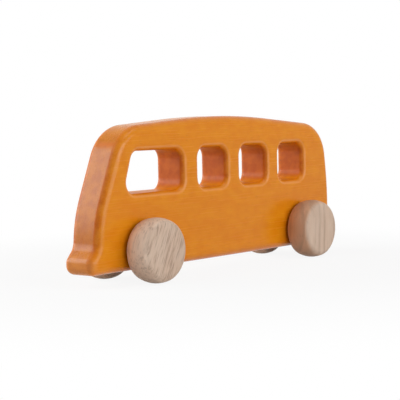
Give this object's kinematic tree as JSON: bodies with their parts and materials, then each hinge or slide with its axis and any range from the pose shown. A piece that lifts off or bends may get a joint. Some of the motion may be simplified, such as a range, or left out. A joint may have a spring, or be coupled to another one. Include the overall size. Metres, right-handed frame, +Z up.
{
  "type": "toy bus",
  "caption": "Wooden push-along toy bus: painted board body with rounded-over edges and routed windows, rolling on plain turned wheels glued to through axles.",
  "frame": {"origin": "on the floor, under the middle of the body's length and thickness", "axes": "+X forward, +Y to the bus's left, +Z up"},
  "size_m": [0.219, 0.0536, 0.0878],
  "materials": {
    "orange_paint": "satin translucent orange paint",
    "beech": "bare, finely sanded",
    "dowel": "bare"
  },
  "bodies": {
    "body": {"bus_body": "orange_paint"},
    "front_wheelset": {"front_axle": "dowel", "front_left_wheel": "beech", "front_right_wheel": "beech"},
    "rear_wheelset": {"rear_axle": "dowel", "rear_left_wheel": "beech", "rear_right_wheel": "beech"}
  },
  "joints": [
    {"name": "front_wheels_roll", "type": "hinge", "parent": "body", "child": "front_wheelset", "pos_m": [0.069, 0, 0.0175], "axis": [0, 1, 0], "continuous": true},
    {"name": "rear_wheels_roll", "type": "hinge", "parent": "body", "child": "rear_wheelset", "pos_m": [-0.076, 0, 0.0175], "axis": [0, 1, 0], "continuous": true}
  ]
}
